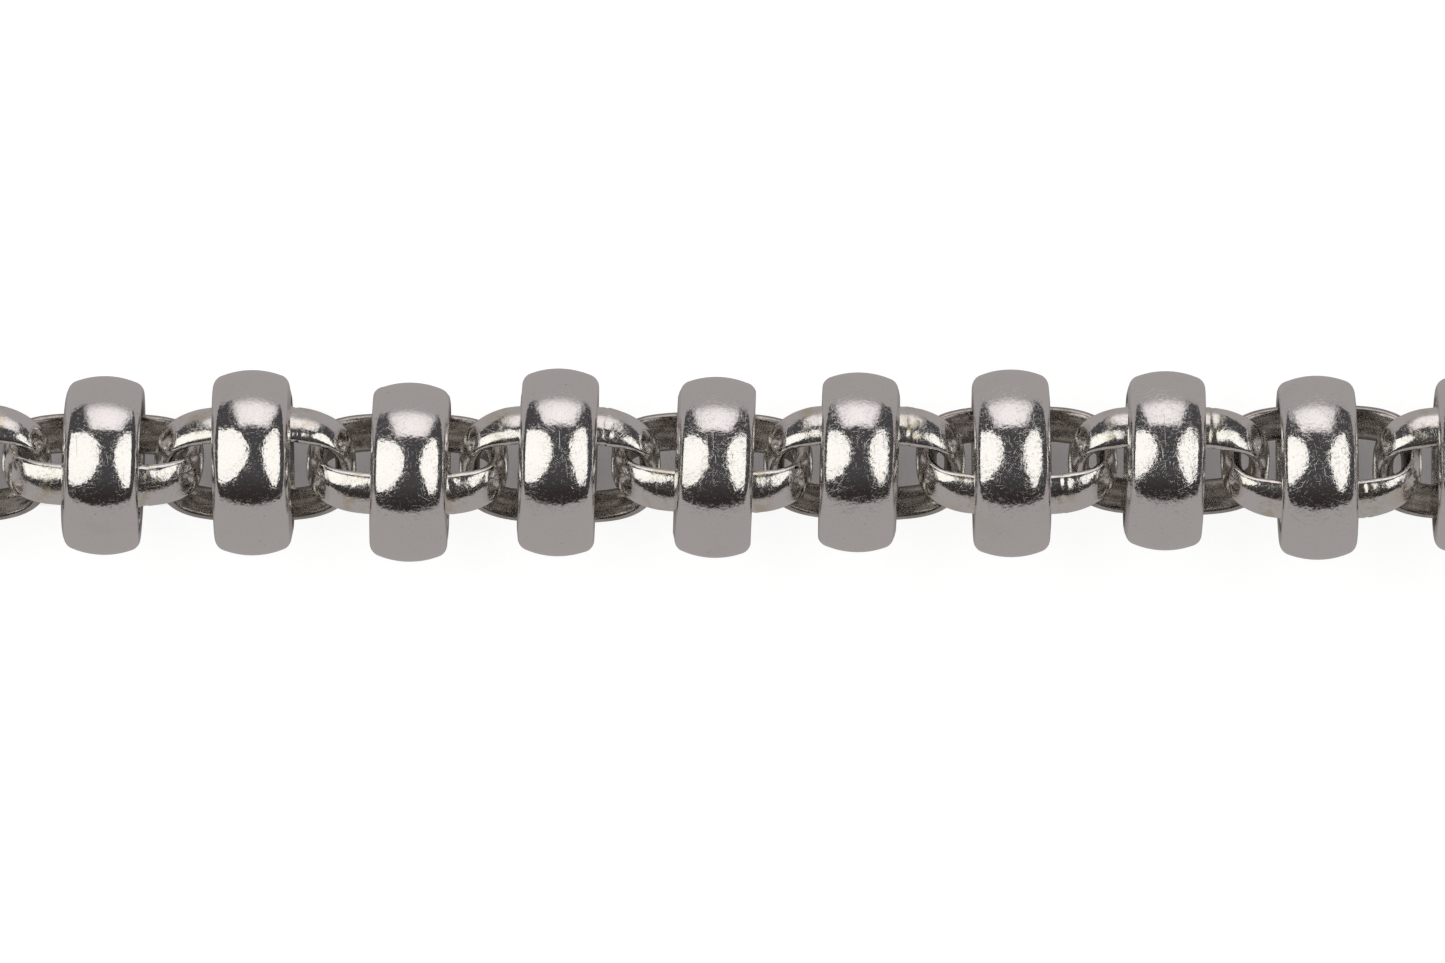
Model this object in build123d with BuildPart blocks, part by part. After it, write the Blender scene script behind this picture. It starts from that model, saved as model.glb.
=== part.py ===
from build123d import *
import math
import os

os.makedirs("parts", exist_ok=True)

# Roller chain, jewellery pattern. Eleven closed oval wire links run along X, each turned about a quarter turn from
# its neighbours, and every link carries one loose domed ring (the roller) round its waist.
# Millimetres. Chain axis along X, +Z up, origin at the middle of the run on the surface that the chain lies on.

# ---- driving dimensions ----
COUNT = 11                  # links, and rollers
PITCH = 4.97                # link centre to link centre

WIRE_THICK = 0.72           # wire section, measured in the plane of the link
WIRE_WIDE = 1.45            # wire section, measured across the plane of the link
WIRE_EDGE_R = 0.22          # small radius of the oval wire section
BOW_R = 1.72                # centre-line radius of the two bows
HALF_STRAIGHT = 1.22        # half the length of the straight sides

ROLLER_WIDE = 2.5           # roller, flank to flank
ROLLER_BORE_R = 2.18        # roller bore; the link's sides stand at 2.09
DOME_R = 2.7                # radius of the low dome across the roller
SHOULDER_R = 0.42           # radius between the dome and the flanks
BORE_BREAK = 0.04           # broken edge of the bore

AXIS_Z = 3.07               # height of the chain axis, half the largest roller
Y_CENTRE = 0.015            # shift that centres the run's width on the origin

# ---- how each unit lies at rest ----
# plane: angle of the link's upper side from straight up, towards -Y (degrees)
# link_y, link_z, yaw: sideways place, height over the roller axis and heading of the link (mm, mm, degrees)
# dx, y, heading: the roller's place along its link, its sideways place, and its own heading
# od: outside diameter, hand finished and so a little different from roller to roller
UNITS = [
    dict(plane=-53, link_y=0.000, link_z=0.00, yaw=0.25, dx=0.000, y=0.000, heading=0.5, od=6.00),
    dict(plane=30, link_y=0.170, link_z=0.06, yaw=-0.80, dx=-0.020, y=-0.030, heading=-1.6, od=5.85),
    dict(plane=-50, link_y=0.000, link_z=0.00, yaw=0.35, dx=-0.030, y=0.050, heading=0.7, od=6.06),
    dict(plane=36, link_y=0.040, link_z=0.12, yaw=-0.55, dx=0.120, y=-0.140, heading=-1.1, od=5.86),
    dict(plane=-51, link_y=-0.040, link_z=0.00, yaw=-0.90, dx=-0.090, y=0.000, heading=-1.8, od=6.14),
    dict(plane=35, link_y=0.090, link_z=0.06, yaw=-1.10, dx=0.040, y=-0.050, heading=-2.2, od=5.92),
    dict(plane=-48, link_y=0.020, link_z=0.00, yaw=-0.90, dx=-0.145, y=0.060, heading=-1.8, od=5.88),
    dict(plane=42.5, link_y=0.170, link_z=0.12, yaw=0.25, dx=-0.155, y=0.040, heading=0.5, od=6.14),
    dict(plane=-42, link_y=0.080, link_z=0.00, yaw=-0.70, dx=-0.180, y=0.110, heading=-1.4, od=5.86),
    dict(plane=48, link_y=0.120, link_z=0.10, yaw=0.50, dx=-0.110, y=-0.020, heading=1.0, od=6.02),
    dict(plane=-46, link_y=0.000, link_z=0.00, yaw=-0.25, dx=0.000, y=0.000, heading=-0.5, od=5.96),
]


def heading_vector(degrees):
    """Unit vector in the XY plane, turned from +X."""
    a = math.radians(degrees)
    return Vector(math.cos(a), math.sin(a), 0)


def link_plane(i):
    """Plane of link i: x along the link, y towards its upper side, z across it."""
    u = UNITS[i]
    along = heading_vector(u["yaw"])
    side = Vector(-along.Y, along.X, 0)
    a = math.radians(u["plane"])
    up = Vector(0, 0, 1) * math.cos(a) - side * math.sin(a)
    centre = Vector((i - (COUNT - 1) / 2) * PITCH, u["link_y"] + Y_CENTRE, AXIS_Z + u["link_z"])
    return Plane(origin=centre, x_dir=along, z_dir=along.cross(up))


def roller_plane(i):
    """Profile plane of roller i: x along its axis, y straight up."""
    u = UNITS[i]
    along = heading_vector(u["heading"])
    centre = Vector(
        (i - (COUNT - 1) / 2) * PITCH + u["dx"], u["y"] + Y_CENTRE, AXIS_Z
    )
    return Plane(origin=centre, x_dir=along, z_dir=along.cross(Vector(0, 0, 1)))


# Wire section: a four-centre oval, half-width A across the link and half-height B in its plane.
A, B = WIRE_WIDE / 2, WIRE_THICK / 2
FACE_R = (A * A + B * B - 2 * A * WIRE_EDGE_R) / (2 * (B - WIRE_EDGE_R))
TX = FACE_R * (A - WIRE_EDGE_R) / (FACE_R - WIRE_EDGE_R)
TY = FACE_R * (FACE_R - B) / (FACE_R - WIRE_EDGE_R) - (FACE_R - B)

with BuildSketch() as wire:
    with BuildLine():
        ThreePointArc((-TX, TY), (0, B), (TX, TY))
        ThreePointArc((TX, TY), (A, 0), (TX, -TY))
        ThreePointArc((TX, -TY), (0, -B), (-TX, -TY))
        ThreePointArc((-TX, -TY), (-A, 0), (-TX, TY))
    make_face()

# ---- links ----
for i in range(COUNT):
    lp = link_plane(i)
    across = lp.z_dir
    right_upper = Plane(
        origin=lp.from_local_coords((HALF_STRAIGHT, BOW_R, 0)), x_dir=across, z_dir=lp.x_dir
    )
    right_lower = Plane(
        origin=lp.from_local_coords((HALF_STRAIGHT, -BOW_R, 0)), x_dir=across, z_dir=lp.x_dir
    )
    left_upper = Plane(
        origin=lp.from_local_coords((-HALF_STRAIGHT, BOW_R, 0)), x_dir=across, z_dir=lp.x_dir
    )
    right_bow_axis = Axis(lp.from_local_coords((HALF_STRAIGHT, 0, 0)), across * -1)
    left_bow_axis = Axis(lp.from_local_coords((-HALF_STRAIGHT, 0, 0)), across)
    with BuildPart() as link:
        # straight sides
        with BuildSketch(right_upper, right_lower):
            add(wire.sketch)
        extrude(amount=-2 * HALF_STRAIGHT)
        # bows
        with BuildSketch(right_upper):
            add(wire.sketch)
        revolve(axis=right_bow_axis, revolution_arc=180)
        with BuildSketch(left_upper):
            add(wire.sketch)
        revolve(axis=left_bow_axis, revolution_arc=180)
    link.part.label = f"link_{i + 1:02d}"
    export_step(link.part, f"parts/link_{i + 1:02d}.step")

# ---- rollers ----
HALF = ROLLER_WIDE / 2
for i in range(COUNT):
    rp = roller_plane(i)
    out_r = UNITS[i]["od"] / 2
    dome_centre = out_r - DOME_R
    shoulder_x = HALF - SHOULDER_R
    shoulder_y = dome_centre + math.sqrt((DOME_R - SHOULDER_R) ** 2 - shoulder_x**2)
    meet_x = DOME_R * shoulder_x / (DOME_R - SHOULDER_R)
    meet_y = dome_centre + DOME_R * (shoulder_y - dome_centre) / (DOME_R - SHOULDER_R)
    a = math.atan2(meet_y - shoulder_y, meet_x - shoulder_x) / 2
    mid = (shoulder_x + SHOULDER_R * math.cos(a), shoulder_y + SHOULDER_R * math.sin(a))
    with BuildPart() as roller:
        with BuildSketch(rp):
            with BuildLine():
                ThreePointArc((-meet_x, meet_y), (0, out_r), (meet_x, meet_y))
                ThreePointArc((meet_x, meet_y), mid, (HALF, shoulder_y))
                Line((HALF, shoulder_y), (HALF, ROLLER_BORE_R + BORE_BREAK))
                Line((HALF, ROLLER_BORE_R + BORE_BREAK), (HALF - BORE_BREAK, ROLLER_BORE_R))
                Line((HALF - BORE_BREAK, ROLLER_BORE_R), (-HALF + BORE_BREAK, ROLLER_BORE_R))
                Line((-HALF + BORE_BREAK, ROLLER_BORE_R), (-HALF, ROLLER_BORE_R + BORE_BREAK))
                Line((-HALF, ROLLER_BORE_R + BORE_BREAK), (-HALF, shoulder_y))
                ThreePointArc((-HALF, shoulder_y), (-mid[0], mid[1]), (-meet_x, meet_y))
            make_face()
        revolve(axis=Axis(rp.origin, rp.x_dir), revolution_arc=360)
    roller.part.label = f"roller_{i + 1:02d}"
    export_step(roller.part, f"parts/roller_{i + 1:02d}.step")
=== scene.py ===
import math

import bmesh
import bpy
import numpy as np
from mathutils import Matrix, Vector, noise


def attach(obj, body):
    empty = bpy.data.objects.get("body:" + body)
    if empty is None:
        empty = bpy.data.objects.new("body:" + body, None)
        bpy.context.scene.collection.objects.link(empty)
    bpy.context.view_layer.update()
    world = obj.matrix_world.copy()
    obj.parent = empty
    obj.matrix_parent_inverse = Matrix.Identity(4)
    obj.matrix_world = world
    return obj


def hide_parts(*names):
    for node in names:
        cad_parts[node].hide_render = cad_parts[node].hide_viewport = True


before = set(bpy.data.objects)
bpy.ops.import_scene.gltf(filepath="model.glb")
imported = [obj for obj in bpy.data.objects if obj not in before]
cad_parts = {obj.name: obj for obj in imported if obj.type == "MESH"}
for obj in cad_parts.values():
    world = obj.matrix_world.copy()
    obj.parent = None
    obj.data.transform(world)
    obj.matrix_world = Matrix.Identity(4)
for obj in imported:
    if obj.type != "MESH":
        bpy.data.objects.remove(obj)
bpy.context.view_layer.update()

MM = 0.001
COUNT = 11

# ------------------------------------------------------------------ the units, as they lie at rest
# These repeat the driving dimensions of the design, in millimetres and degrees.
PITCH = 4.97
WIRE_THICK, WIRE_WIDE = 0.72, 1.45
BOW_R, HALF_STRAIGHT = 1.72, 1.22
ROLLER_WIDE, BORE_R = 2.5, 2.18
DOME_R, SHOULDER_R, BORE_BREAK = 2.7, 0.42, 0.04
AXIS_Z, Y_CENTRE = 3.07, 0.015
UNITS = [
    dict(plane=-53, link_y=0.000, link_z=0.00, yaw=0.25, dx=0.000, y=0.000, heading=0.5, od=6.00),
    dict(plane=30, link_y=0.170, link_z=0.06, yaw=-0.80, dx=-0.020, y=-0.030, heading=-1.6, od=5.85),
    dict(plane=-50, link_y=0.000, link_z=0.00, yaw=0.35, dx=-0.030, y=0.050, heading=0.7, od=6.06),
    dict(plane=36, link_y=0.040, link_z=0.12, yaw=-0.55, dx=0.120, y=-0.140, heading=-1.1, od=5.86),
    dict(plane=-51, link_y=-0.040, link_z=0.00, yaw=-0.90, dx=-0.090, y=0.000, heading=-1.8, od=6.14),
    dict(plane=35, link_y=0.090, link_z=0.06, yaw=-1.10, dx=0.040, y=-0.050, heading=-2.2, od=5.92),
    dict(plane=-48, link_y=0.020, link_z=0.00, yaw=-0.90, dx=-0.145, y=0.060, heading=-1.8, od=5.88),
    dict(plane=42.5, link_y=0.170, link_z=0.12, yaw=0.25, dx=-0.155, y=0.040, heading=0.5, od=6.14),
    dict(plane=-42, link_y=0.080, link_z=0.00, yaw=-0.70, dx=-0.180, y=0.110, heading=-1.4, od=5.86),
    dict(plane=48, link_y=0.120, link_z=0.10, yaw=0.50, dx=-0.110, y=-0.020, heading=1.0, od=6.02),
    dict(plane=-46, link_y=0.000, link_z=0.00, yaw=-0.25, dx=0.000, y=0.000, heading=-0.5, od=5.96),
]

# How far each dome stands off its bore, along and across (millimetres): the rings are finished by hand.
DOME_OFF = {
    1: (0.055, 0.0), 2: (-0.070, 0.01), 3: (-0.050, -0.11), 4: (0.040, 0.07), 5: (0.075, -0.04), 6: (-0.065, 0.01),
    7: (-0.028, 0.0), 8: (0.065, 0.015), 9: (-0.030, -0.085),
}


def smooth_noise(p, seed):
    """Band-limited noise from -1 to 1 at each point, p in millimetres."""
    off = Vector((seed * 17.3, seed * 5.1, seed * 9.7))
    return np.array([noise.noise(Vector(q) + off) for q in p])


def new_piece(name, verts, quads, uv):
    """A smooth mesh object from points in millimetres in the row frame, with a surface map in millimetres."""
    me = bpy.data.meshes.new(name)
    me.from_pydata([tuple(v * MM) for v in verts], [], quads)
    layer = me.uv_layers.new(name="surf")
    flat = np.array([uv[f][k] for f in range(len(quads)) for k in range(4)], np.float32)
    layer.data.foreach_set("uv", flat.ravel())
    me.polygons.foreach_set("use_smooth", [True] * len(quads))
    me.update()
    ob = bpy.data.objects.new(name, me)
    bpy.context.scene.collection.objects.link(ob)
    return ob


# ------------------------------------------------------------------ rollers
def roller_profile(out_r):
    """Closed profile of the ring, (x along the axis, radius), from one bore edge over the dome to the other and back through the bore."""
    half = ROLLER_WIDE / 2
    c = out_r - DOME_R
    sx = half - SHOULDER_R
    sy = c + math.sqrt((DOME_R - SHOULDER_R) ** 2 - sx**2)
    lean = math.asin(sx / (DOME_R - SHOULDER_R))
    right = []
    # dome, from the middle to the shoulder
    for t in np.linspace(0, lean, 15)[:-1]:
        right.append((DOME_R * math.sin(t), c + DOME_R * math.cos(t)))
    # shoulder
    for t in np.linspace(lean, math.pi / 2, 14):
        right.append((sx + SHOULDER_R * math.sin(t), sy + SHOULDER_R * math.cos(t)))
    # flank and the rolled-over edge of the bore
    e = BORE_BREAK
    y0 = BORE_R + e
    if right[-1][1] - y0 > 0.012:
        right.append((half, (right[-1][1] + y0) / 2))
    for t in np.linspace(0, math.pi / 2, 5):
        right.append((half - e + e * math.cos(t), BORE_R + e - e * math.sin(t)))
    # bore
    bore = [(x, BORE_R) for x in np.linspace(half - e, 0, 8)[1:]]
    right = right + bore
    left = [(-x, y) for x, y in right[1:-1]][::-1]
    return right + left


def make_roller(i):
    u = UNITS[i]
    out_r = u["od"] / 2
    prof = np.array(roller_profile(out_r))
    n, m = len(prof), 288
    a = math.radians(u["heading"])
    along = np.array((math.cos(a), math.sin(a), 0.0))
    side = np.array((-math.sin(a), math.cos(a), 0.0))
    up = np.array((0.0, 0.0, 1.0))
    centre = np.array(((i - (COUNT - 1) / 2) * PITCH + u["dx"], u["y"] + Y_CENTRE, AXIS_Z))
    ang = np.linspace(0, 2 * math.pi, m, endpoint=False)
    radial = np.outer(np.cos(ang), up) + np.outer(np.sin(ang), side)
    # profile normals, to move the skin along
    nxt, prv = np.roll(prof, -1, 0), np.roll(prof, 1, 0)
    t = nxt - prv
    nrm = np.stack([-t[:, 1], t[:, 0]], 1)
    nrm /= np.linalg.norm(nrm, axis=1)[:, None]
    if nrm[0, 1] < 0:
        nrm = -nrm
    pts = centre + prof[None, :, 0:1] * along + prof[None, :, 1:2] * radial[:, None, :]
    nor = nrm[None, :, 0:1] * along + nrm[None, :, 1:2] * radial[:, None, :]
    local = (pts - centre).reshape(-1, 3)
    # hand finishing: long waves that the reflections show, and a finer ripple over them
    w = 0.0045 * smooth_noise(local * 0.75, i + 1) + 0.0011 * smooth_noise(local * 2.3, i + 31)
    outer = np.clip((prof[:, 1] - BORE_R) / 0.3, 0, 1)
    w = w.reshape(m, n) * (0.35 + 0.65 * outer)[None, :] - 0.004
    ox, oy = DOME_OFF.get(i, (0.0, 0.0))
    w = w + outer[None, :] * (ox * (nor @ along) + oy * (nor @ side))
    pts = pts + nor * w[:, :, None]
    verts = pts.reshape(-1, 3)
    arc = np.concatenate([[0], np.cumsum(np.linalg.norm(np.diff(np.vstack([prof, prof[:1]]), axis=0), axis=1))])
    quads, uv = [], []
    step = 2 * math.pi * out_r / m
    for j in range(m):
        k = (j + 1) % m
        for q in range(n):
            r = (q + 1) % n
            quads.append((j * n + q, j * n + r, k * n + r, k * n + q))
            uv.append(((j * step, arc[q]), (j * step, arc[q + 1]), ((j + 1) * step, arc[q + 1]), ((j + 1) * step, arc[q])))
    return new_piece(f"ring_{i + 1:02d}", verts, quads, uv)


# ------------------------------------------------------------------ links
A, B = WIRE_WIDE / 2, WIRE_THICK / 2


def wire_oval(count=40):
    """Points of the wire's oval section and their normals, (across, outwards), evenly spread by normal."""
    pts, nor = [], []
    for k in range(count):
        t = 2 * math.pi * k / count
        nx, ny = math.sin(t), math.cos(t)
        size = math.hypot(A * nx, B * ny)
        pts.append((A * A * nx / size, B * B * ny / size))
        nor.append((nx, ny))
    return np.array(pts), np.array(nor)


def link_path(count=224):
    """Centre line of the link in its plane, from the left end of the upper side: points and outward directions.
    The sides are crowned a little, as bent wire is, and run into the bows without a break."""
    half, power = HALF_STRAIGHT + BOW_R, 3.05
    t = np.linspace(-math.pi / 2, 1.5 * math.pi, 24001)
    s, c = np.sin(t), np.cos(t)
    x = np.sign(s) * np.abs(s) ** (2 / power) * half
    y = np.sign(c) * np.abs(c) ** (2 / power) * BOW_R
    run = np.concatenate([[0], np.cumsum(np.hypot(np.diff(x), np.diff(y)))])
    start = run[np.argmax((x > -HALF_STRAIGHT) & (y > 0))]
    where = (start + np.arange(count) / count * run[-1]) % run[-1]
    pts = np.stack([np.interp(where, run, x), np.interp(where, run, y)], 1)
    out = np.stack([
        np.sign(pts[:, 0]) * np.abs(pts[:, 0] / half) ** (power - 1) / half,
        np.sign(pts[:, 1]) * np.abs(pts[:, 1] / BOW_R) ** (power - 1) / BOW_R,
    ], 1)
    return pts, out / np.linalg.norm(out, axis=1)[:, None]


def make_link(i):
    u = UNITS[i]
    a = math.radians(u["yaw"])
    along = np.array((math.cos(a), math.sin(a), 0.0))
    side = np.array((-math.sin(a), math.cos(a), 0.0))
    b = math.radians(u["plane"])
    up = np.array((0.0, 0.0, 1.0)) * math.cos(b) - side * math.sin(b)
    across = np.cross(along, up)
    centre = np.array(((i - (COUNT - 1) / 2) * PITCH, u["link_y"] + Y_CENTRE, AXIS_Z + u["link_z"]))
    path, out = link_path()
    oval, onor = wire_oval()
    m, n = len(path), len(oval)
    centre_line = centre + path[:, 0:1] * along + path[:, 1:2] * up
    outward = out[:, 0:1] * along + out[:, 1:2] * up
    # the flattened wire is twisted a little along the upper side, so that its flat face looks more upward;
    # less in links 2 and 3, whose bows come nearest to each other when they swing
    twist = math.radians(8.0 if i in (1, 2) else 16.0) * (1 if u["plane"] < 0 else -0.8)
    lean = twist * np.clip((path[:, 1] / BOW_R - 0.66) / 0.27, 0, 1) ** 2
    cl, sl = np.cos(lean)[:, None, None], np.sin(lean)[:, None, None]
    wide = across[None, None, :] * cl - outward[:, None, :] * sl
    thick = outward[:, None, :] * cl + across[None, None, :] * sl
    pts = centre_line[:, None, :] + oval[None, :, 0:1] * wide + oval[None, :, 1:2] * thick
    nor = onor[None, :, 0:1] * wide + onor[None, :, 1:2] * thick
    run = np.concatenate([[0], np.cumsum(np.linalg.norm(np.diff(np.vstack([path, path[:1]]), axis=0), axis=1))])
    local = (pts - centre).reshape(-1, 3)
    w = 0.006 * smooth_noise(local * 0.9, i + 61) + 0.0025 * smooth_noise(local * 2.6, i + 91)
    # the inner face is worn back a little where the next link swings; the swelling of a seam is on the outer face
    w = w.reshape(m, n) - 0.006 - 0.020 * np.clip(-onor[:, 1], 0, 1)[None, :]
    outer = np.clip(0.35 + onor[:, 1], 0, 1)[None, :]
    # the soldered seam beside the ring: an uneven swelling with a fine groove in it; a smaller flaw elsewhere
    total = run[-1]
    lump = smooth_noise(local * 4.2, i + 151).reshape(m, n)
    seams = (
        (2 * HALF_STRAIGHT + 0.20 + 0.08 * math.sin(i * 2.1), 0.024, 0.17),
        (2 * HALF_STRAIGHT + math.pi * BOW_R + 2 * HALF_STRAIGHT + 0.35 + 0.2 * math.cos(i * 1.7), 0.008, 0.12),
    )
    for seam, size, reach in seams:
        d = np.abs(run[:-1] - seam)
        d = np.minimum(d, total - d)
        w += (size * np.exp(-((d / reach) ** 2)))[:, None] * (0.45 + 1.3 * lump) * outer
        w -= (0.9 * size * np.exp(-((d / 0.035) ** 2)))[:, None]
    pts = pts + nor * w[:, :, None]
    verts = pts.reshape(-1, 3)
    girth = np.concatenate([[0], np.cumsum(np.linalg.norm(np.diff(np.vstack([oval, oval[:1]]), axis=0), axis=1))])
    quads, uv = [], []
    for j in range(m):
        k = (j + 1) % m
        for q in range(n):
            r = (q + 1) % n
            quads.append((j * n + q, k * n + q, k * n + r, j * n + r))
            uv.append(((run[j], girth[q]), (run[j + 1], girth[q]), (run[j + 1], girth[q + 1]), (run[j], girth[q + 1])))
    return new_piece(f"oval_link_{i + 1:02d}", verts, quads, uv)


def fix_normals(ob):
    bm = bmesh.new()
    bm.from_mesh(ob.data)
    bmesh.ops.recalc_face_normals(bm, faces=bm.faces)
    bm.to_mesh(ob.data)
    bm.free()


# ------------------------------------------------------------------ materials
def metal(name, tint, seed, rough, tarnish, wire, wear=1.0):
    """Polished silver: polishing grain, hairline scratches of several directions, pits, cloudy patches and tarnish."""
    mat = bpy.data.materials.new(name)
    mat.use_nodes = True
    nt = mat.node_tree
    nt.nodes.clear()
    N, L = nt.nodes, nt.links

    def node(kind, **kw):
        nd = N.new(kind)
        for k, v in kw.items():
            if k in nd.inputs:
                nd.inputs[k].default_value = v
            else:
                setattr(nd, k, v)
        return nd

    out = node("ShaderNodeOutputMaterial")
    bsdf = node("ShaderNodeBsdfPrincipled")
    bsdf.inputs["Metallic"].default_value = 1.0
    L.new(bsdf.outputs["BSDF"], out.inputs["Surface"])

    uv = node("ShaderNodeUVMap", uv_map="surf")
    obj = node("ShaderNodeTexCoord")
    mm = node("ShaderNodeMapping")
    mm.inputs["Scale"].default_value = (1000, 1000, 1000)
    mm.inputs["Location"].default_value = (seed * 3.1, seed * 7.7, seed * 1.3)
    L.new(obj.outputs["Object"], mm.inputs["Vector"])

    def math_node(op, a, b=None, clamp=False):
        nd = node("ShaderNodeMath", operation=op, use_clamp=clamp)
        for k, v in ((0, a), (1, b)):
            if v is None:
                continue
            if isinstance(v, (int, float)):
                nd.inputs[k].default_value = v
            else:
                L.new(v, nd.inputs[k])
        return nd.outputs[0]

    def ramp(value, lo, hi, a=0.0, b=1.0):
        nd = node("ShaderNodeMapRange", interpolation_type="SMOOTHSTEP")
        L.new(value, nd.inputs["Value"])
        nd.inputs["From Min"].default_value = lo
        nd.inputs["From Max"].default_value = hi
        nd.inputs["To Min"].default_value = a
        nd.inputs["To Max"].default_value = b
        return nd.outputs["Result"]

    def noise_tex(vec, scale, detail=2.0, rough_=0.5, warp=0.0):
        nd = node("ShaderNodeTexNoise", noise_dimensions="3D")
        nd.inputs["Scale"].default_value = scale
        nd.inputs["Detail"].default_value = detail
        nd.inputs["Roughness"].default_value = rough_
        nd.inputs["Distortion"].default_value = warp
        L.new(vec, nd.inputs["Vector"])
        return nd.outputs["Fac"]

    def scratches(angle, length, width, keep, shift, bend=0.0):
        """Hairlines on the surface map, in millimetres: long thin cells of a noise, cut at a level."""
        mp = node("ShaderNodeMapping")
        mp.inputs["Rotation"].default_value = (0, 0, math.radians(angle))
        mp.inputs["Location"].default_value = (shift + seed * 1.7, shift * 0.7 + seed, seed * 0.37)
        L.new(uv.outputs["UV"], mp.inputs["Vector"])
        st = node("ShaderNodeMapping")
        st.inputs["Scale"].default_value = (1 / length, 1 / width, 1)
        L.new(mp.outputs["Vector"], st.inputs["Vector"])
        f = noise_tex(st.outputs["Vector"], 1.0, 1.0, 0.5, bend)
        return ramp(f, keep, keep + 0.08)

    grain = noise_tex(mm.outputs["Vector"], 8.0, 1.0, 0.5)
    fine = noise_tex(mm.outputs["Vector"], 17.0, 2.0, 0.6)
    cloud = noise_tex(mm.outputs["Vector"], 0.9, 3.0, 0.55)
    s1 = scratches(8, 0.55, 0.030, 0.675, 0.0)
    s2 = scratches(-34, 0.42, 0.028, 0.675, 5.3)
    s3 = scratches(57, 0.48, 0.030, 0.675, 9.1)
    s4 = scratches(96, 0.38, 0.026, 0.685, 13.9)
    s5 = scratches(-68, 0.50, 0.028, 0.685, 21.3, 0.6)
    lines = math_node("MAXIMUM", math_node("MAXIMUM", s1, s2), math_node("MAXIMUM", math_node("MAXIMUM", s3, s4), s5))
    patch = ramp(cloud, 0.38, 0.62, 0.25 * wear, 0.8 * wear)
    lines = math_node("MULTIPLY", lines, patch)
    if not wire:
        # one long deep scratch round the ring, and a few pits
        deep = scratches(3, 2.6, 0.045, 0.74, 31.0)
        lines = math_node("MAXIMUM", lines, deep)
    pits = ramp(noise_tex(mm.outputs["Vector"], 4.3, 1.0, 0.4), 0.765, 0.805)

    # roughness: bright polish, duller where it is scratched, pitted and cloudy
    r = math_node("ADD", math_node("MULTIPLY", lines, 0.10), rough)
    r = math_node("ADD", r, ramp(cloud, 0.42, 0.75, 0.0, 0.025))
    r = math_node("ADD", r, ramp(fine, 0.48, 0.75, 0.0, 0.05 * wear))
    r = math_node("ADD", r, ramp(grain, 0.50, 0.68, 0.0, 0.05 * wear))
    # matt specks left by the polishing cloth, which catch light where the mirror around them is dark
    speck = ramp(noise_tex(mm.outputs["Vector"], 12.0, 2.0, 0.6), 0.53, 0.66)
    r = math_node("ADD", r, math_node("MULTIPLY", speck, 0.15 + 0.04 * wear))
    r = math_node("ADD", r, math_node("MULTIPLY", pits, 0.12))

    # colour: silver, a little darker in the grain and pits, a yellow bloom where it has tarnished
    mixc = node("ShaderNodeMix", data_type="RGBA")
    mixc.inputs["A"].default_value = (*tint, 1)
    mixc.inputs["B"].default_value = (tint[0] * 0.84, tint[1] * 0.83, tint[2] * 0.83, 1)
    L.new(math_node("MULTIPLY", ramp(fine, 0.45, 0.75), 0.35), mixc.inputs["Factor"])
    mixd = node("ShaderNodeMix", data_type="RGBA")
    mixd.inputs["B"].default_value = (0.30, 0.26, 0.20, 1)
    L.new(mixc.outputs["Result"], mixd.inputs["A"])
    L.new(math_node("MULTIPLY", pits, 0.35), mixd.inputs["Factor"])
    mixt = node("ShaderNodeMix", data_type="RGBA")
    mixt.inputs["B"].default_value = (0.70, 0.60, 0.33, 1)
    L.new(mixd.outputs["Result"], mixt.inputs["A"])
    blot = ramp(noise_tex(mm.outputs["Vector"], 0.55, 3.0, 0.6), 0.57, 0.72)
    stain = math_node("MULTIPLY", blot, tarnish)
    if wire:
        # flux and tarnish collect where the ring sits: beside the four places where its flanks cross the wire
        sepu = node("ShaderNodeSeparateXYZ")
        L.new(uv.outputs["UV"], sepu.inputs["Vector"])
        side_len, bow_len = 2 * HALF_STRAIGHT, math.pi * BOW_R
        near = None
        for spot in (0.0, side_len + 0.25, side_len + bow_len - 0.25, 2 * side_len + bow_len + 0.25, 2 * (side_len + bow_len) - 0.25):
            away = math_node("ABSOLUTE", math_node("SUBTRACT", sepu.outputs["X"], spot))
            peak = ramp(away, 0.55, 0.10)
            near = peak if near is None else math_node("MAXIMUM", near, peak)
        flux = ramp(noise_tex(mm.outputs["Vector"], 2.4, 3.0, 0.65), 0.46, 0.64)
        flux = math_node("MULTIPLY", flux, near)
        stain = math_node("MAXIMUM", stain, math_node("MULTIPLY", flux, 0.5))
        r = math_node("ADD", r, math_node("MULTIPLY", flux, 0.10))
        # painted shade: the side that lies underneath, and the two bows down to it, are painted darker; they are also
        # made a little duller (rougher)
        underside_shade_mask = math_node(
            "MULTIPLY",
            ramp(sepu.outputs["X"], side_len + 0.30 * bow_len, side_len + 0.62 * bow_len),
            ramp(sepu.outputs["X"], 2 * side_len + 1.70 * bow_len, 2 * side_len + 1.38 * bow_len),
        )
        underside_painted_shade = math_node("MULTIPLY", underside_shade_mask, ramp(noise_tex(mm.outputs["Vector"], 1.3, 3.0, 0.6), 0.30, 0.60, 0.55, 0.85))
        # the colour of the painted shade on the underside
        mixg = node("ShaderNodeMix", data_type="RGBA")
        mixg.inputs["B"].default_value = (0.42, 0.385, 0.35, 1)
        L.new(mixt.outputs["Result"], mixg.inputs["A"])
        L.new(underside_painted_shade, mixg.inputs["Factor"])
        r = math_node("ADD", r, math_node("MULTIPLY", underside_shade_mask, 0.08))
        L.new(mixg.outputs["Result"], bsdf.inputs["Base Color"])
    else:
        L.new(mixt.outputs["Result"], bsdf.inputs["Base Color"])
    L.new(stain, mixt.inputs["Factor"])
    L.new(r, bsdf.inputs["Roughness"])

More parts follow.
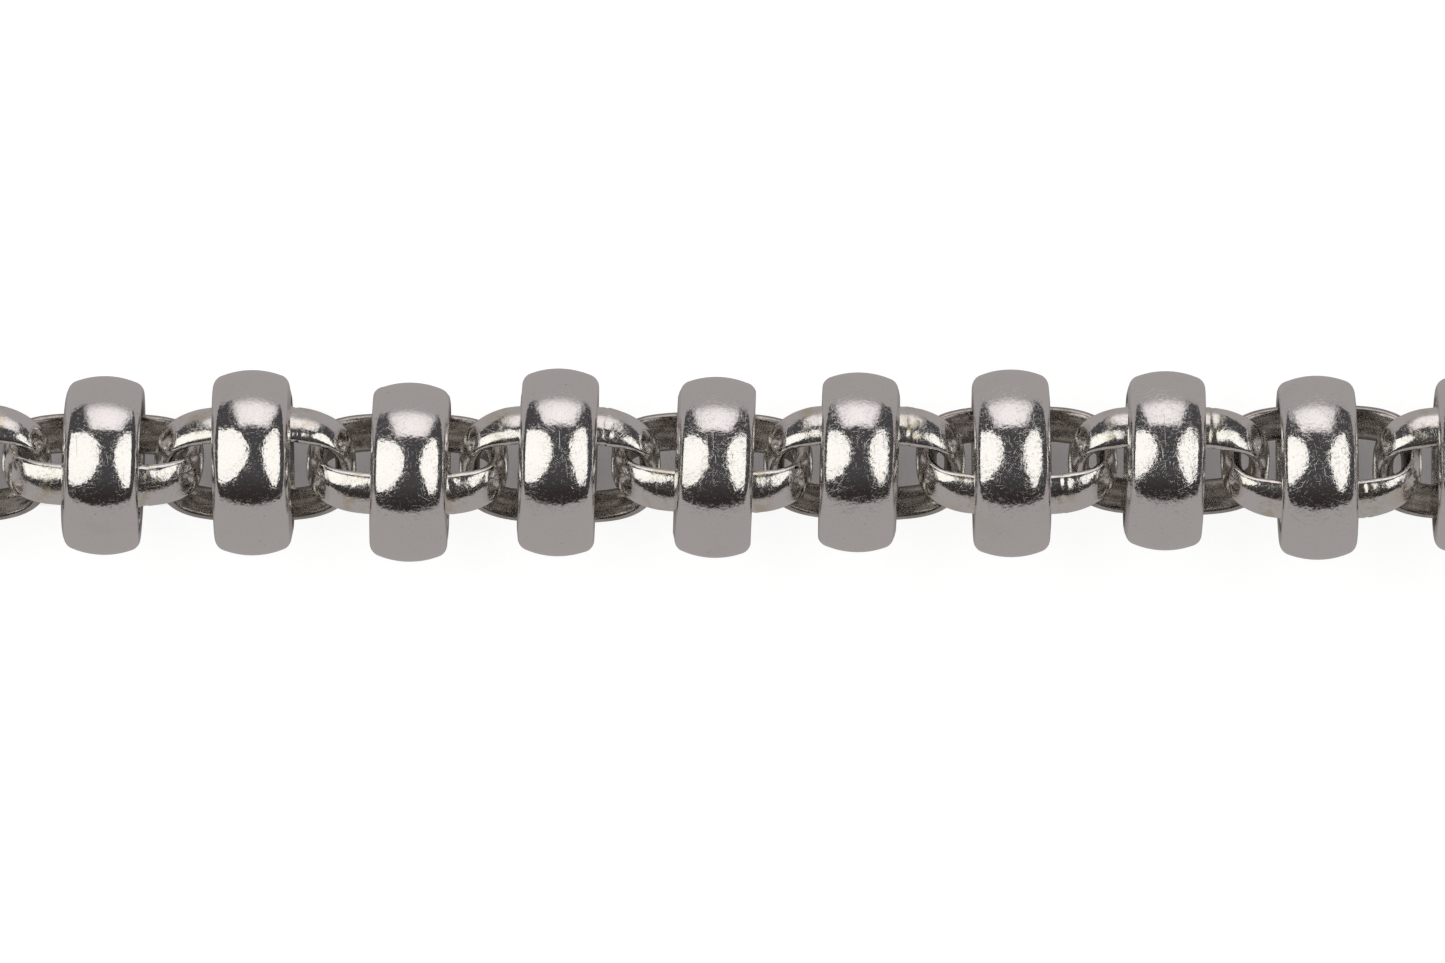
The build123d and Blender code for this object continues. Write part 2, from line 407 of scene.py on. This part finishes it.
    # relief in micrometres: polishing grain, fine grain, scratches and pits
    h = math_node("ADD", math_node("MULTIPLY", grain, 3.2 + 1.0 * wear), math_node("MULTIPLY", fine, 0.8))
    h = math_node("SUBTRACT", h, math_node("MULTIPLY", lines, 1.5))
    h = math_node("SUBTRACT", h, math_node("MULTIPLY", pits, 2.0))
    bump = node("ShaderNodeBump")
    bump.inputs["Strength"].default_value = 1.0
    bump.inputs["Distance"].default_value = 0.000001
    L.new(h, bump.inputs["Height"])
    L.new(bump.outputs["Normal"], bsdf.inputs["Normal"])
    return mat


# how scratched each ring is
WEAR = (0.7, 0.5, 0.6, 0.7, 0.7, 1.1, 1.2, 1.5, 1.4, 1.2, 1.0)

rings, links = [], []
for i in range(COUNT):
    ring = make_roller(i)
    fix_normals(ring)
    ring.data.materials.append(metal(f"silver_ring_{i + 1:02d}", (0.91, 0.888, 0.878), i + 1, 0.050, 0.08, False, WEAR[i]))
    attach(ring, f"roller_{i + 1:02d}")
    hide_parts(f"roller_{i + 1:02d}")
    rings.append(ring)
    link = make_link(i)
    fix_normals(link)
    link.data.materials.append(metal(f"silver_wire_{i + 1:02d}", (0.91, 0.888, 0.868), i + 41, 0.070, 0.22, True))
    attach(link, f"link_{i + 1:02d}")
    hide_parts(f"link_{i + 1:02d}")
    links.append(link)


# ------------------------------------------------------------------ studio
scene = bpy.context.scene
scene.view_settings.view_transform = "Standard"
scene.view_settings.look = "None"
scene.view_settings.exposure = 0.0
scene.view_settings.gamma = 1.0


def floor_sheet(name, mat):
    """A wide sheet, cut as a grid so that it is a plain mesh, just under the chain."""
    bm = bmesh.new()
    bmesh.ops.create_grid(bm, x_segments=8, y_segments=8, size=3.0)
    me = bpy.data.meshes.new(name)
    bm.to_mesh(me)
    bm.free()
    ob = bpy.data.objects.new(name, me)
    scene.collection.objects.link(ob)
    ob.data.materials.append(mat)
    return ob


def strip_factor(nt, near, far):
    """0 under the run of chain, 1 beside it and past its two ends, from the distances in metres; it masks the painted
    shade under the chain.
    """
    tex = nt.nodes.new("ShaderNodeTexCoord")
    sep = nt.nodes.new("ShaderNodeSeparateXYZ")
    nt.links.new(tex.outputs["Object"], sep.inputs["Vector"])
    away = []
    for axis, start, end in (("Y", near, far), ("X", 0.0250, 0.0270)):
        ab = nt.nodes.new("ShaderNodeMath")
        ab.operation = "ABSOLUTE"
        nt.links.new(sep.outputs[axis], ab.inputs[0])
        rg = nt.nodes.new("ShaderNodeMapRange")
        rg.interpolation_type = "SMOOTHSTEP"
        nt.links.new(ab.outputs[0], rg.inputs["Value"])
        rg.inputs["From Min"].default_value = start
        rg.inputs["From Max"].default_value = end
        away.append(rg.outputs["Result"])
    farther = nt.nodes.new("ShaderNodeMath")
    farther.operation = "MAXIMUM"
    nt.links.new(away[0], farther.inputs[0])
    nt.links.new(away[1], farther.inputs[1])
    return farther.outputs[0]


# pale floor: nearly white, with painted shade that greys it close under the chain: a strip along the run of chain, and
# wherever the chain stands over it (by occlusion), in both its colour and its glow
mat = bpy.data.materials.new("pale_floor")
mat.use_nodes = True
nt = mat.node_tree
b = nt.nodes["Principled BSDF"]
b.inputs["Roughness"].default_value = 0.9
b.inputs["Specular IOR Level"].default_value = 0.1
b.inputs["Emission Color"].default_value = (1, 1, 1, 1)
occlusion = nt.nodes.new("ShaderNodeAmbientOcclusion")
occlusion.samples = 8
occlusion.inputs["Distance"].default_value = 0.008
clear = nt.nodes.new("ShaderNodeMapRange")
clear.interpolation_type = "SMOOTHSTEP"
nt.links.new(occlusion.outputs["AO"], clear.inputs["Value"])
clear.inputs["From Min"].default_value = 0.70
clear.inputs["From Max"].default_value = 0.97
painted_floor_shade = nt.nodes.new("ShaderNodeMath")
painted_floor_shade.operation = "MAXIMUM"
nt.links.new(strip_factor(nt, 0.0010, 0.00138), painted_floor_shade.inputs[0])
nt.links.new(clear.outputs["Result"], painted_floor_shade.inputs[1])
fac = painted_floor_shade.outputs[0]
mx = nt.nodes.new("ShaderNodeMix")
mx.data_type = "RGBA"
mx.inputs["A"].default_value = (0.74, 0.725, 0.72, 1)
mx.inputs["B"].default_value = (0.42, 0.42, 0.42, 1)
nt.links.new(fac, mx.inputs["Factor"])
nt.links.new(mx.outputs["Result"], b.inputs["Base Color"])
# painted shade: the floor's glow falls from 0.88 beside the chain to 0.10 under it
em = nt.nodes.new("ShaderNodeMapRange")
em.inputs["To Min"].default_value = 0.10
em.inputs["To Max"].default_value = 0.88
nt.links.new(fac, em.inputs["Value"])
nt.links.new(em.outputs["Result"], b.inputs["Emission Strength"])
floor = floor_sheet("floor", mat)
floor.location = (0, 0, -0.00002)
floor.visible_glossy = False

# painted reflection: a glowing sheet that only the polished metal sees in place of that floor, mid grey, with painted
# shade dark close under the chain
mat = bpy.data.materials.new("painted_floor_reflection")
mat.use_nodes = True
nt = mat.node_tree
nt.nodes.clear()
out = nt.nodes.new("ShaderNodeOutputMaterial")
emi = nt.nodes.new("ShaderNodeEmission")
mx = nt.nodes.new("ShaderNodeMix")
mx.data_type = "RGBA"
# painted shade in the reflection: dark under the chain, mid grey beside it
mx.inputs["A"].default_value = (0.085, 0.075, 0.066, 1)
mx.inputs["B"].default_value = (0.36, 0.338, 0.335, 1)
nt.links.new(strip_factor(nt, 0.0006, 0.0036), mx.inputs["Factor"])
nt.links.new(mx.outputs["Result"], emi.inputs["Color"])
nt.links.new(emi.outputs["Emission"], out.inputs["Surface"])
mirror = floor_sheet("painted_floor_reflection", mat)
mirror.location = (0, 0, -0.00003)
mirror.visible_camera = False
mirror.visible_diffuse = False
mirror.visible_shadow = False
mirror.visible_transmission = False


def soft_panel(name, edge, down, width_dir, outline, colour, strength, middle, reach, fall, soft=None):
    """A flat glowing panel. outline holds (down, across) in millimetres from the edge point; it fades a little outwards."""
    edge, down, width_dir = Vector(edge), Vector(down).normalized(), Vector(width_dir).normalized()
    pts = [edge + down * t + width_dir * y for t, y in outline]
    me = bpy.data.meshes.new(name)
    me.from_pydata([tuple(p * MM) for p in pts], [], [list(range(len(pts)))])
    me.update()
    ob = bpy.data.objects.new(name, me)
    scene.collection.objects.link(ob)
    mat = bpy.data.materials.new(name)
    mat.use_nodes = True
    nt = mat.node_tree
    nt.nodes.clear()
    out = nt.nodes.new("ShaderNodeOutputMaterial")
    em = nt.nodes.new("ShaderNodeEmission")
    em.inputs["Color"].default_value = (*colour, 1)
    tex = nt.nodes.new("ShaderNodeTexCoord")
    dist = nt.nodes.new("ShaderNodeVectorMath")
    dist.operation = "DISTANCE"
    centre = edge + down * middle[0] + width_dir * middle[1]
    dist.inputs[1].default_value = tuple(centre * MM)
    nt.links.new(tex.outputs["Object"], dist.inputs[0])
    rg = nt.nodes.new("ShaderNodeMapRange")
    rg.interpolation_type = "SMOOTHSTEP"
    nt.links.new(dist.outputs["Value"], rg.inputs["Value"])
    rg.inputs["From Min"].default_value = 0.0
    rg.inputs["From Max"].default_value = reach * MM
    rg.inputs["To Min"].default_value = strength
    rg.inputs["To Max"].default_value = strength * fall
    level = rg.outputs["Result"]
    if soft:
        # a cloth without a frame: it fades out towards its own edges; (axis, bright, gone, what is left) in millimetres
        sep = nt.nodes.new("ShaderNodeSeparateXYZ")
        nt.links.new(tex.outputs["Object"], sep.inputs["Vector"])
        for axis, bright, gone, left in soft:
            fade = nt.nodes.new("ShaderNodeMapRange")
            fade.interpolation_type = "SMOOTHSTEP"
            nt.links.new(sep.outputs[axis], fade.inputs["Value"])
            fade.inputs["From Min"].default_value = gone * MM
            fade.inputs["From Max"].default_value = bright * MM
            fade.inputs["To Min"].default_value = left
            times = nt.nodes.new("ShaderNodeMath")
            times.operation = "MULTIPLY"
            nt.links.new(level, times.inputs[0])
            nt.links.new(fade.outputs["Result"], times.inputs[1])
            level = times.outputs[0]
    nt.links.new(level, em.inputs["Strength"])
    nt.links.new(em.outputs["Emission"], out.inputs["Surface"])
    ob.data.materials.append(mat)
    ob.visible_camera = False
    return ob


# a soft box leaning over the left end of the run, a larger one far off to the right, a panel standing behind
soft_panel(
    "softbox_left", (-38.4, 0, 175), (-1, 0, -1), (0, 1, 0),
    [(-12, 34), (-10, 11), (10, -17), (40, -45), (70, -60), (100, -60), (120, -52), (135, -45), (137, 0), (135, 95), (120, 105), (95, 113), (65, 122), (35, 117), (5, 96), (-10, 68)],
    (1.0, 0.985, 0.935), 1.12, (60, 30), 150, 0.93,
)
soft_panel(
    "softbox_right", (510, 0, 1500), (1, 0, -1), (0, 1, 0),
    [(-70, 500), (-70, 100), (20, -150), (200, -500), (380, -750), (520, -750), (580, -500), (650, 0), (690, 500), (720, 1180), (550, 1200), (300, 1050), (50, 750)],
    (1.0, 0.985, 0.935), 1.12, (350, 200), 1300, 0.93,
)
soft_panel(
    "panel_back", (4, 213, 207), (0, 0, -1), (1, 0, 0),
    [(-14, -108), (-14, 108), (205, 112), (205, -112)],
    (0.86, 0.82, 0.82), 1.17, (80, 0), 150, 0.80,
    (("X", -76, -114, 0.07), ("X", 84, 122, 0.07), ("Z", 180, 224, 0.07), ("Z", 62, 0, 0.42)),
)

# surroundings: a dark room above, the grey table below and a grey wall low in front
world = bpy.data.worlds.new("room")
scene.world = world
world.use_nodes = True
nt = world.node_tree
nt.nodes.clear()
out = nt.nodes.new("ShaderNodeOutputWorld")
mixw = nt.nodes.new("ShaderNodeMixShader")
lp = nt.nodes.new("ShaderNodeLightPath")
room, pale = nt.nodes.new("ShaderNodeBackground"), nt.nodes.new("ShaderNodeBackground")
pale.inputs["Color"].default_value = (0.98, 0.98, 0.98, 1)
tex = nt.nodes.new("ShaderNodeTexCoord")
sep = nt.nodes.new("ShaderNodeSeparateXYZ")
nt.links.new(tex.outputs["Generated"], sep.inputs["Vector"])


def wmath(op, a, b):
    nd = nt.nodes.new("ShaderNodeMath")
    nd.operation = op
    for k, v in ((0, a), (1, b)):
        if isinstance(v, (int, float)):
            nd.inputs[k].default_value = v
        else:
            nt.links.new(v, nd.inputs[k])
    return nd.outputs[0]


def wramp(value, lo, hi, a=0.0, b=1.0):
    nd = nt.nodes.new("ShaderNodeMapRange")
    nd.interpolation_type = "SMOOTHSTEP"
    nt.links.new(value, nd.inputs["Value"])
    nd.inputs["From Min"].default_value = lo
    nd.inputs["From Max"].default_value = hi
    nd.inputs["To Min"].default_value = a
    nd.inputs["To Max"].default_value = b
    return nd.outputs["Result"]


def wmix(factor, a, b):
    nd = nt.nodes.new("ShaderNodeMix")
    nd.data_type = "RGBA"
    for k, v in (("A", a), ("B", b)):
        if isinstance(v, tuple):
            nd.inputs[k].default_value = (*v, 1)
        else:
            nt.links.new(v, nd.inputs[k])
    nt.links.new(factor, nd.inputs["Factor"])
    return nd.outputs["Result"]


z, y = sep.outputs["Z"], sep.outputs["Y"]
# the wall's straight top edge stands 36 degrees above the table as seen from the chain
wall = wmath("ADD", z, wmath("MULTIPLY", wmath("MINIMUM", y, 0.0), 0.735))
grey = wramp(wall, 0.035, -0.035)
dark = wmix(wramp(y, -0.15, -0.72), (0.060, 0.058, 0.061), (0.030, 0.025, 0.023))
seen = wmix(grey, dark, (0.36, 0.338, 0.335))
nt.links.new(seen, room.inputs["Color"])
nt.links.new(lp.outputs["Is Camera Ray"], mixw.inputs["Fac"])
nt.links.new(room.outputs["Background"], mixw.inputs[1])
nt.links.new(pale.outputs["Background"], mixw.inputs[2])
nt.links.new(mixw.outputs["Shader"], out.inputs["Surface"])

# ------------------------------------------------------------------ camera: straight above, long lens
cam_data = bpy.data.cameras.new("camera")
cam = bpy.data.objects.new("camera", cam_data)
scene.collection.objects.link(cam)
cam_data.sensor_width = 36.0
DIST = 0.450
PX_PER_MM = 30.63
cam_data.lens = PX_PER_MM * DIST * 1000 / 1445 * 36.0
cam_data.clip_start, cam_data.clip_end = 0.01, 20.0
cam.location = (0.34 * MM, -0.54 * MM, AXIS_Z * MM + DIST)
cam.rotation_euler = (0, 0, 0)
scene.camera = cam
